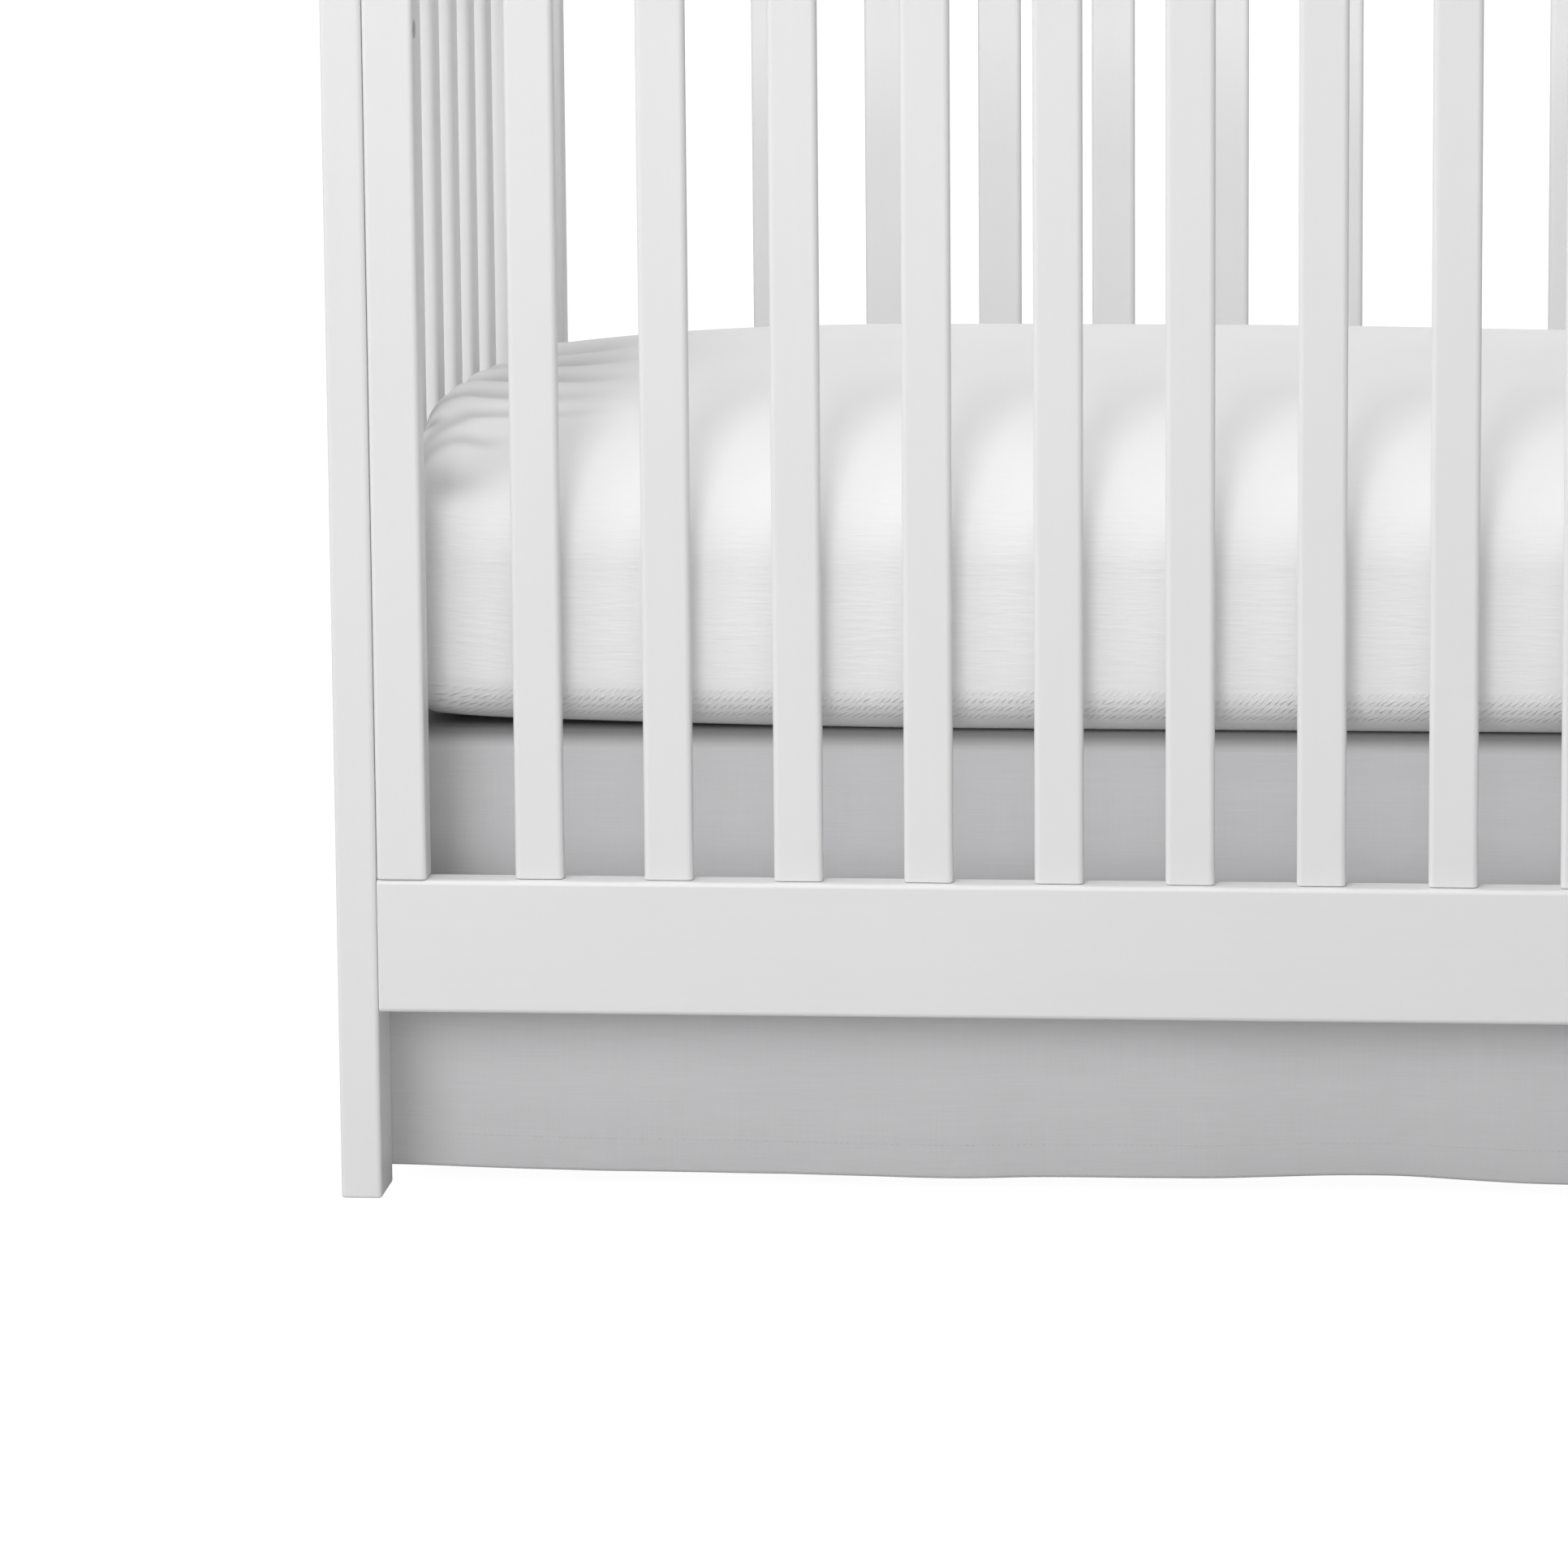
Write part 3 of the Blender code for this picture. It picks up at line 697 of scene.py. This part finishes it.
def panel_surface(along, down, half_length, folds, seed):
    """Face of a hung panel. along is in metres, down runs from 0 at the deck to 1 at the hem.

    The sheet leaves the vertical by the folds' swing times down^1.6, a soft billow
    sin(pi down^4) above the hem and the ripples; its length follows the hem's lift."""
    swing, lift = hem_folds(along, folds)
    height = DECK_TOP - HEM_FLOOR - lift
    from_middle = np.abs(along / half_length)
    billow = BILLOW * (1.0 - from_middle ** BILLOW_ENDS)
    out = swing * down ** SWING_BEND + billow * np.sin(math.pi * down ** BILLOW_LOW)
    out = out + ripples(along, down, seed) * (1.0 - from_middle ** RIPPLE_ENDS)
    return out, DECK_TOP - height * down


def turned(points, middle, turn):
    """Points turned about Z and moved to their place."""
    c, s = math.cos(turn), math.sin(turn)
    x = points[:, 0] * c - points[:, 1] * s
    y = points[:, 0] * s + points[:, 1] * c
    return np.column_stack((x, y, points[:, 2])) + middle


def build_panel(side, half_length, folds, middle, turn, columns, seed):
    """Hung panel with its folded hem: an open sheet, thickened inwards by a weighted Solidify."""
    drop = DECK_TOP - HEM_FLOOR
    hem_start = 1.0 - HEM_HEIGHT / drop
    step_end = hem_start + HEM_STEP / drop
    open_rows, step_rows, hem_rows = PANEL_ROWS
    down = np.concatenate((np.linspace(0.0, hem_start, open_rows),
                           np.linspace(hem_start, step_end, step_rows)[1:],
                           np.linspace(step_end, 1.0, hem_rows)[1:]))
    side_hem = np.linspace(0.0, SIDE_HEM, SIDE_HEM_STEPS + 1)
    side_hem = np.concatenate((side_hem, [SIDE_HEM + HEM_STEP])) - half_length
    inside = np.linspace(-half_length + SIDE_HEM, half_length - SIDE_HEM, columns)[1:-1]
    along = np.concatenate((side_hem, inside, -side_hem[::-1]))
    a, d = np.meshgrid(along, down)
    out, z = panel_surface(a, d, half_length, folds, seed)
    pucker = HEM_PUCKER * np.sin(2 * math.pi * a / HEM_PUCKER_PITCH)
    pucker = pucker * np.exp(-((d - hem_start) * drop / HEM_PUCKER_REACH) ** 2)
    points = np.column_stack((a.ravel(), -(out + pucker).ravel(), z.ravel()))
    points = turned(points, middle, turn)
    uv = np.column_stack((a.ravel(), (1.0 - d.ravel()) * drop))
    name = f"skirt_{side}_panel"
    faces = grid_faces(len(down), len(along))
    sheet = add_piece(f"{name}_cloth", points, faces, SKIRT, uv)
    # Painted shadow under the mattress's edge, darkest at the panel's top
    shade = TUCK_PAINTED_SHADOW if side in ("front", "back") else END_SHARE_OF_TUCK_SHADOW * TUCK_PAINTED_SHADOW
    add_values(sheet.data, "painted_tuck_shadow", shade * (1.0 - smooth(d * drop / TUCK_SHADOW_HEIGHT)))
    at_hem = d >= hem_start + THICK_FROM * HEM_STEP / drop
    at_side = half_length - np.abs(a) < SIDE_HEM - ROUND_OFF
    thick = at_hem | at_side
    group = sheet.vertex_groups.new(name="folded")
    group.add(np.nonzero(thick.ravel())[0].tolist(), 1.0, "REPLACE")
    solid = sheet.modifiers.new("cloth", "SOLIDIFY")
    solid.thickness = HEM_THICK
    solid.offset = -1.0
    solid.vertex_group = group.name
    solid.thickness_vertex_group = CLOTH / HEM_THICK
    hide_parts(name)
    stitches = build_stitches(side, half_length, folds, middle, turn, seed, hem_start)


def build_stitches(side, half_length, folds, middle, turn, seed, hem_start):
    """Hem stitching: short threads, each a six-sided spindle lying on the cloth."""
    drop = DECK_TOP - HEM_FLOOR
    count = int(2 * (half_length - SIDE_HEM) / STITCH_PITCH)
    start = (np.arange(count) - (count - 1) / 2) * STITCH_PITCH
    stations, shares = np.array(STITCH_SHAPE).T
    radii = shares * STITCH_RADIUS
    turns = np.arange(STITCH_SIDES) * 2 * math.pi / STITCH_SIDES
    s, t = np.meshgrid(stations, turns, indexing="ij")
    local_a = (start[:, None, None] + STITCH_LENGTH * s[None]).ravel()
    ring_out = (radii[:, None] * np.cos(t))[None].repeat(count, 0).ravel()
    ring_up = (radii[:, None] * np.sin(t))[None].repeat(count, 0).ravel()
    down = np.full_like(local_a, hem_start + STITCH_DOWN / drop)
    out, z = panel_surface(local_a, down, half_length, folds, seed)
    points = np.column_stack((local_a, -(out + STITCH_RISE * STITCH_RADIUS + ring_out), z + ring_up))
    points = turned(points, middle, turn)
    spindle = len(stations) * STITCH_SIDES
    one = [face[::-1] for face in grid_faces(len(stations), STITCH_SIDES, closed=True)]
    one.append(list(range(STITCH_SIDES)))
    one.append(list(range(spindle - STITCH_SIDES, spindle))[::-1])
    faces = [[i + spindle * k for i in face] for k in range(count) for face in one]
    uv = np.column_stack((local_a, z))
    return add_piece(f"skirt_{side}_hem_stitching", points, faces, SKIRT, uv)


def build_deck():
    """Deck under the mattress: a flat sheet, darkened all over by painted shade."""
    half_x = END_FACE_X - CLOTH - GAP
    half_y = FRONT_FACE_Y - CLOTH - GAP
    columns, rows = DECK_POINTS
    x, y = np.meshgrid(np.linspace(-half_x, half_x, columns), np.linspace(half_y, -half_y, rows))
    points = np.column_stack((x.ravel(), y.ravel(), np.full(x.size, DECK_TOP)))
    deck = add_piece("skirt_deck_cloth", points, grid_faces(rows, columns), SKIRT,
                     points[:, :2])
    # Painted shade over the whole deck, which lies in the mattress's shadow
    add_values(deck.data, "painted_tuck_shadow", np.full(x.size, TUCK_PAINTED_SHADOW))
    solid = deck.modifiers.new("cloth", "SOLIDIFY")
    solid.thickness = CLOTH
    solid.offset = -1.0
    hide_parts("skirt_deck")


# ---------------------------------------------------------------- mattress
def rounded_fall(inset, span, power):
    """0 at the edge and 1 in the middle, upright at the edge: sqrt(1 - (1 - inset/span)^power)."""
    away = np.clip(1.0 - inset / span, 0.0, 1.0)
    return np.sqrt(1.0 - away ** power)


def smooth(value):
    """Smooth step from 0 to 1."""
    t = np.clip(value, 0.0, 1.0)
    return t * t * (3.0 - 2.0 * t)


def mattress_points(u, v, level):
    """Point of the mattress for u, v in -1..1 over its plan and level 0 (underside) to 1 (top).

    The top is a crowned sheet that turns upright at the rim and falls away towards its back
    corners, the underside is flat with rounded edges and curls up at the ends, and a square's
    corners are drawn onto quarter circles in plan."""
    half_x, half_y = MATTRESS_HALF
    x = half_x * np.sin(u * math.pi / 2)
    y = half_y * np.sin(v * math.pi / 2)
    inset_x, inset_y = half_x - np.abs(x), half_y - np.abs(y)
    crown = rounded_fall(inset_x, half_y, END_POWER) * rounded_fall(inset_y, half_y, CROWN_POWER)
    under = rounded_fall(inset_x, END_BOTTOM_ROUND, 2.0) * rounded_fall(inset_y, BOTTOM_ROUND, 2.0)
    outer = np.clip((np.abs(x) - END_DROP_FROM) / (END_DROP_TO - END_DROP_FROM), 0.0, 1.0)
    drop = END_DROP * outer ** END_DROP_BEND * smooth((y - END_DROP_FRONT) / END_DROP_DEPTH)
    sag = MIDDLE_SAG * np.exp(-((x - SAG_X) / SAG_WIDTH) ** 2)
    top_z = MATTRESS_RIM + (MATTRESS_CROWN - drop - sag) * crown
    curl = (np.abs(x) - END_CURL_FROM) / (END_DROP_TO - END_CURL_FROM)
    curl = np.clip(curl, 0.0, END_CURL_MOST) ** END_CURL_BEND
    low_z = MATTRESS_FLOOR + BOTTOM_ROUND * (1.0 - under) + END_CURL * curl
    z = low_z + (top_z - low_z) * level
    corner_x = np.clip(1.0 - inset_x / CORNER_RADIUS, 0.0, 1.0)
    corner_y = np.clip(1.0 - inset_y / CORNER_RADIUS, 0.0, 1.0)
    x = x - np.sign(x) * CORNER_RADIUS * corner_x * (1.0 - np.sqrt(1.0 - corner_y ** 2 / 2))
    y = y - np.sign(y) * CORNER_RADIUS * corner_y * (1.0 - np.sqrt(1.0 - corner_x ** 2 / 2))
    return np.column_stack((x.ravel(), y.ravel(), z.ravel()))


def line_bell(points, half_width, line):
    """Bell across a line in plan, fading towards its end: exp(-(distance / half width)^2)."""
    line = np.array(line)
    spans = np.hypot(*np.diff(line, axis=0).T)
    start = np.concatenate(([0.0], np.cumsum(spans)))
    near = np.full(len(points), np.inf)
    where = np.zeros(len(points))
    for (a, b), span, before in zip(zip(line[:-1], line[1:]), spans, start):
        t = np.clip((points[:, :2] - a) @ (b - a) / span ** 2, 0.0, 1.0)
        distance = np.linalg.norm(points[:, :2] - a - t[:, None] * (b - a), axis=1)
        closer = distance < near
        near = np.where(closer, distance, near)
        where = np.where(closer, (before + t * span) / start[-1], where)
    fade_from, fade_over = CREASE_FADE
    return np.exp(-(near / half_width) ** 2) * (1.0 - smooth((where - fade_from) / fade_over))


def draw_in_and_shade(points):
    """How far creases, dimples and pinches draw the sheet in, and the shade painted on it there, in shade
    patches and along its lower edge, with painted light on the creases' crests.
    """
    depth = np.zeros(len(points))
    shade_from, shade_over, low_shade = LOW_EDGE_PAINTED_SHADE
    shade = low_shade * smooth((shade_from - points[:, 2]) / shade_over)
    fall = smooth((points[:, 2] - (MATTRESS_RIM - CREASE_UNDER_RIM)) / CREASE_RISE)
    for half_width, crease_depth, crease_shade, line in LEFT_CREASES + RIGHT_CREASES:
        bell = line_bell(points, half_width, line) * fall
        depth += crease_depth * bell
        shade += crease_shade * (VALLEY_PAINTED_SHADE * bell - CREST_PAINTED_LIGHT * bell ** CREST_SPREAD)
    pinch_x, pinch_z, pinch_radius, pinch_depth, pinch_shade = PINCH_WITH_SHADE
    slat_ys = (np.arange(END_SLATS) - END_SLATS // 2) * END_SLAT_PITCH
    spots = [(x, y, pinch_z, pinch_radius, pinch_radius, pinch_depth, pinch_shade)
             for x in (-pinch_x, pinch_x) for y in slat_ys]
    for x, y, z, length, radius, spot_depth, spot_shade in list(DIMPLES_AND_SHADE_PATCHES) + spots:
        rel = (points - (x, y, z)) / (length, radius, radius)
        bell = np.exp(-np.sum(rel ** 2, axis=1))
        depth += spot_depth * bell
        shade += spot_shade * bell
    return depth, shade


def build_mattress():
    """Closed form from two grids and the band between their borders, creased along its normals."""
    nx, ny, nz = MATTRESS_CELLS
    u, v = np.meshgrid(np.linspace(-1, 1, nx + 1), np.linspace(-1, 1, ny + 1))
    top = mattress_points(u, v, np.ones_like(u))
    bottom = mattress_points(u, v, np.zeros_like(u))
    index = np.arange((nx + 1) * (ny + 1)).reshape(ny + 1, nx + 1)
    border = np.concatenate((index[0, :-1], index[:-1, -1], index[-1, :0:-1], index[:0:-1, 0]))
    levels = np.linspace(1.0, 0.0, nz + 1)[1:-1]
    band = [bottom[border] + (top[border] - bottom[border]) * level for level in levels]
    points = np.vstack([top, bottom] + band)
    count, base = len(top), 2 * len(top)
    cells = grid_faces(ny + 1, nx + 1)
    faces = [face[::-1] for face in cells] + [[i + count for i in face] for face in cells]
    rings = [border] + [base + k * len(border) + np.arange(len(border)) for k in range(len(levels))]
    rings.append(border + count)
    for upper, lower in zip(rings[:-1], rings[1:]):
        faces += np.column_stack((upper, lower, np.roll(lower, -1), np.roll(upper, -1))).tolist()
    piece = add_piece("mattress_in_sheet", points, faces, SHEET)
    mesh = piece.data
    normals = np.empty(len(points) * 3)
    mesh.vertices.foreach_get("normal", normals)
    normals = normals.reshape(-1, 3)
    drawn, shade = draw_in_and_shade(points)
    upright = np.clip((points[:, 2] - MATTRESS_FLOOR) / (MATTRESS_RIM - MATTRESS_FLOOR), 0.0, 1.0)
    level_side = 1.0 - np.abs(normals[:, 2])
    swell = SIDE_BULGE * np.sin(math.pi * upright) * level_side
    at_end = smooth((np.abs(points[:, 0]) - END_PRESS_X[0]) / END_PRESS_X[1])
    at_end = at_end * smooth((points[:, 2] - END_PRESS_Z[0]) / END_PRESS_Z[1])
    pressed = END_PRESS * np.cos(2 * math.pi * points[:, 1] / END_SLAT_PITCH) * at_end
    points = points + normals * (swell - drawn - pressed)[:, None]
    mesh.vertices.foreach_set("co", points.ravel())
    # Painted shade and light for the sheet's colour
    add_values(mesh, "painted_shade", shade)
    mesh.update()
    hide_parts("mattress")


# ---------------------------------------------------------------- stage, light, camera
def build_stage():
    """Plain white floor. The camera sees it lifted towards white, the light doesn't."""
    mesh = bpy.data.meshes.new("floor")
    corners = [(x * FLOOR_HALF, y * FLOOR_HALF, 0.0) for x, y in ((-1, -1), (1, -1), (1, 1), (-1, 1))]
    mesh.from_pydata(corners, [], [(0, 1, 2, 3)])
    floor = bpy.data.objects.new("floor", mesh)
    bpy.context.scene.collection.objects.link(floor)
    material, tree, shader = new_material("white_floor", 0.9)
    shader.inputs["Base Color"].default_value = (FLOOR_GREY, FLOOR_GREY, FLOOR_GREY, 1.0)
    shader.inputs["Specular IOR Level"].default_value = 0.0
    glow = tree.nodes.new("ShaderNodeEmission")
    glow.inputs["Color"].default_value = (1.0, 1.0, 1.0, 1.0)
    glow.inputs["Strength"].default_value = FLOOR_GLOW
    mix = tree.nodes.new("ShaderNodeMixShader")
    seen = tree.nodes.new("ShaderNodeLightPath").outputs["Is Camera Ray"]
    away = tree.nodes.new("ShaderNodeVectorMath")
    away.operation = "LENGTH"
    tree.links.new(tree.nodes.new("ShaderNodeTexCoord").outputs["Object"], away.inputs[0])
    far = math_node(tree, "SUBTRACT", away.outputs["Value"], FLOOR_NEAR, clamp=True)
    lift = math_node(tree, "ADD", math_node(tree, "MULTIPLY", far, 1.0 - FLOOR_LIFT), FLOOR_LIFT)
    tree.links.new(math_node(tree, "MULTIPLY", seen, lift), mix.inputs[0])
    tree.links.new(shader.outputs[0], mix.inputs[1])
    tree.links.new(glow.outputs[0], mix.inputs[2])
    tree.links.new(mix.outputs[0], tree.nodes["Material Output"].inputs["Surface"])
    mesh.materials.append(material)


def build_world():
    """White surround: softer for the light it gives than for what is seen of it."""
    world = bpy.data.worlds.new("white_surround")
    bpy.context.scene.world = world
    world.use_nodes = True
    tree = world.node_tree
    ground = tree.nodes["Background"]
    ground.inputs["Color"].default_value = (1.0, 1.0, 1.0, 1.0)
    seen = tree.nodes.new("ShaderNodeLightPath").outputs["Is Camera Ray"]
    strength = math_node(tree, "ADD", math_node(tree, "MULTIPLY", seen, 1.0 - WORLD_LIGHT), WORLD_LIGHT)
    tree.links.new(strength, ground.inputs["Strength"])


def add_softbox(name, azimuth, elevation, distance, size, power, lit, shadows):
    """Square light aimed at the crib's middle, azimuth 0 in front and negative to the left.

    lit is the group of pieces it reaches, shadows the group that shades it; None is everything."""
    a, e = math.radians(azimuth), math.radians(elevation)
    way = np.array([math.sin(a) * math.cos(e), -math.cos(a) * math.cos(e), math.sin(e)])
    light = bpy.data.lights.new(name, "AREA")
    light.size = size
    light.energy = power
    lamp = bpy.data.objects.new(name, light)
    place = way * distance + LIGHT_AIM
    side = np.cross((0.0, 0.0, 1.0), way)
    side /= np.linalg.norm(side)
    up = np.cross(way, side)
    turn = Matrix(np.column_stack((side, up, way)).tolist()).to_4x4()
    lamp.matrix_world = Matrix.Translation(place) @ turn
    bpy.context.scene.collection.objects.link(lamp)
    if lit:
        lamp.light_linking.receiver_collection = lit
    if shadows:
        lamp.light_linking.blocker_collection = shadows


def light_group(name, pieces, state):
    """Group for a light, or for its shadows: only these pieces (INCLUDE) or all but these (EXCLUDE)."""
    group = bpy.data.collections.new(name)
    for piece in pieces:
        group.objects.link(piece)
    for entry in group.collection_objects:
        entry.light_linking.link_state = state
    return group


def build_lights():
    """Softboxes for the skirt, the sheet, the wood and the ends, each set linked to its pieces."""
    solids = set(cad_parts.values())
    made = [o for o in bpy.data.objects if o.type == "MESH" and o not in solids]
    cloths = [o for o in made if o.name.startswith("skirt_")]
    sheets = [o for o in made if o.name.startswith("mattress")]
    slats = [o for o in made if "_slat_" in o.name]
    uprights = [o for o in made if o.name.endswith(("_post", "_stile_wood"))]
    ends = [o for o in made if o.name.startswith(("left", "right")) and "_front_" not in o.name]
    right_end = [o for o in made if o.name.startswith(("right", "skirt_right"))]
    only_skirt = light_group("only_skirt", cloths, "INCLUDE")
    only_sheet = light_group("only_sheet", sheets, "INCLUDE")
    only_ends = light_group("only_ends", ends, "INCLUDE")
    only_right = light_group("only_right", right_end, "INCLUDE")
    all_but_cloth = light_group("all_but_cloth", cloths + sheets, "EXCLUDE")
    all_but_sheet = light_group("all_but_sheet", sheets, "EXCLUDE")
    no_slat_shadows = light_group("no_slat_shadows", slats, "EXCLUDE")
    no_upright_shadows = light_group("no_upright_shadows", uprights + slats, "EXCLUDE")
    sets = (
        (SKIRT_BOXES, only_skirt, no_slat_shadows),
        (SHEET_BOXES, only_sheet, None),
        (OPEN_BOXES, only_sheet, no_upright_shadows),
        (WOOD_BOXES, all_but_cloth, None),
        (END_BOXES, only_ends, no_slat_shadows),
        (REAR_BOXES, all_but_sheet, None),
        (RIGHT_BOXES, only_right, None),
        (ROUND_BOXES, None, None),
    )
    for boxes, lit, shadows in sets:
        for box in boxes:
            add_softbox(*box, lit, shadows)


def build_camera():
    """Camera that looks along the photograph's line of sight: yaw, pitch and roll in degrees."""
    yaw, pitch, roll = (math.radians(v) for v in CAMERA_TURN)
    ahead = np.array([math.sin(yaw) * math.cos(pitch), math.cos(yaw) * math.cos(pitch), math.sin(pitch)])
    right = np.array([math.cos(yaw), -math.sin(yaw), 0.0])
    up = np.cross(right, ahead)
    side = right * math.cos(roll) + up * math.sin(roll)
    up = up * math.cos(roll) - right * math.sin(roll)
    data = bpy.data.cameras.new("camera")
    data.lens = CAMERA_LENS
    data.sensor_width = CAMERA_SENSOR
    data.shift_x, data.shift_y = CAMERA_SHIFT
    camera = bpy.data.objects.new("camera", data)
    turn = Matrix(np.column_stack((side, up, -ahead)).tolist()).to_4x4()
    camera.matrix_world = Matrix.Translation(CAMERA_PLACE) @ turn
    bpy.context.scene.collection.objects.link(camera)
    bpy.context.scene.camera = camera


build_camera()
build_world()
build_stage()
for end_name in ("left", "right"):
    build_end(end_name)
for side_name in ("front", "back"):
    build_long_side(side_name)
build_panel("front", FRONT_HALF, FRONT_FOLDS, (0.0, -FRONT_FACE_Y, 0.0), 0.0, columns=300, seed=11)
build_panel("back", FRONT_HALF, BACK_FOLDS, (0.0, FRONT_FACE_Y, 0.0), math.pi, columns=240, seed=12)
build_panel("left", END_HALF, LEFT_FOLDS, (-END_FACE_X, 0.0, 0.0), -math.pi / 2, columns=120, seed=13)
build_panel("right", END_HALF, RIGHT_FOLDS, (END_FACE_X, 0.0, 0.0), math.pi / 2, columns=120, seed=14)
build_deck()
build_mattress()
build_lights()
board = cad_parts["mattress_support"]
board.data.materials.clear()
board.data.materials.append(BOARD)
bpy.context.scene.view_settings.view_transform = "Standard"
